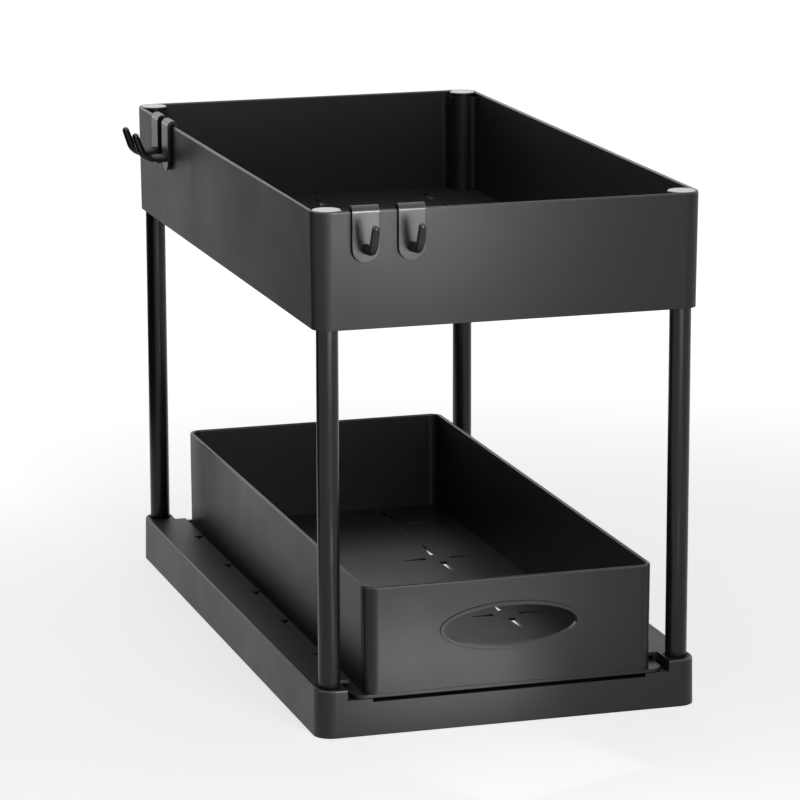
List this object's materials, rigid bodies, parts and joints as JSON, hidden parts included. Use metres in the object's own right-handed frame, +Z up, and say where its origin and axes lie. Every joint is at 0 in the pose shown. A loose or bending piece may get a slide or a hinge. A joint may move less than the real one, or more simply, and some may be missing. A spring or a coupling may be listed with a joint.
{
  "type": "pull out cabinet basket",
  "caption": "Cabinet rack: an open basket on corner tubes above a base frame with a sliding drawer, and lift-off hooks on the basket's rim.",
  "frame": {"origin": "middle of the base frame's footprint, on the surface that it stands on", "axes": "+X to the right along the front, +Y from the drawer's front to the back, +Z up"},
  "size_m": [0.229, 0.4074, 0.2767],
  "materials": {
    "base_plastic": "satin black moulded plastic",
    "rail_plastic": "smooth slippery black plastic",
    "basket_plastic": "satin black moulded plastic",
    "drawer_plastic": "satin black moulded plastic",
    "tube_coating": "semi-gloss black coating",
    "cap_plastic": "satin black moulded plastic",
    "bush_rubber": "soft matte black",
    "pad_rubber": "soft matte black",
    "hook_plastic": "semi-gloss black moulded plastic"
  },
  "bodies": {
    "rack": {"base_frame": "base_plastic", "slide_rail_left": "rail_plastic", "slide_rail_right": "rail_plastic", "upper_basket": "basket_plastic", "tube_front_left": "tube_coating", "tube_front_right": "tube_coating", "tube_rear_left": "tube_coating", "tube_rear_right": "tube_coating", "tube_cap_front_left": "cap_plastic", "tube_cap_front_right": "cap_plastic", "tube_cap_rear_left": "cap_plastic", "tube_cap_rear_right": "cap_plastic", "socket_bush_front_left": "bush_rubber", "socket_bush_front_right": "bush_rubber", "socket_bush_rear_left": "bush_rubber", "socket_bush_rear_right": "bush_rubber", "foot_pad_front_left": "pad_rubber", "foot_pad_front_right": "pad_rubber", "foot_pad_rear_left": "pad_rubber", "foot_pad_rear_right": "pad_rubber"},
    "drawer": {"drawer": "drawer_plastic"},
    "hook_front_1": {"hook_front_1": "hook_plastic"},
    "hook_front_2": {"hook_front_2": "hook_plastic"},
    "hook_side_1": {"hook_side_1": "hook_plastic"},
    "hook_side_2": {"hook_side_2": "hook_plastic"}
  },
  "joints": [
    {"name": "drawer_slide", "type": "slide", "parent": "rack", "child": "drawer", "axis": [0, -1, 0], "range_m": [0, 0.3]},
    {"name": "hook_front_1_lift", "type": "slide", "parent": "rack", "child": "hook_front_1", "axis": [0, 0, 1], "range_m": [0, 0.03]},
    {"name": "hook_front_2_lift", "type": "slide", "parent": "rack", "child": "hook_front_2", "axis": [0, 0, 1], "range_m": [0, 0.03]},
    {"name": "hook_side_1_lift", "type": "slide", "parent": "rack", "child": "hook_side_1", "axis": [0, 0, 1], "range_m": [0, 0.03]},
    {"name": "hook_side_2_lift", "type": "slide", "parent": "rack", "child": "hook_side_2", "axis": [0, 0, 1], "range_m": [0, 0.03]}
  ]
}
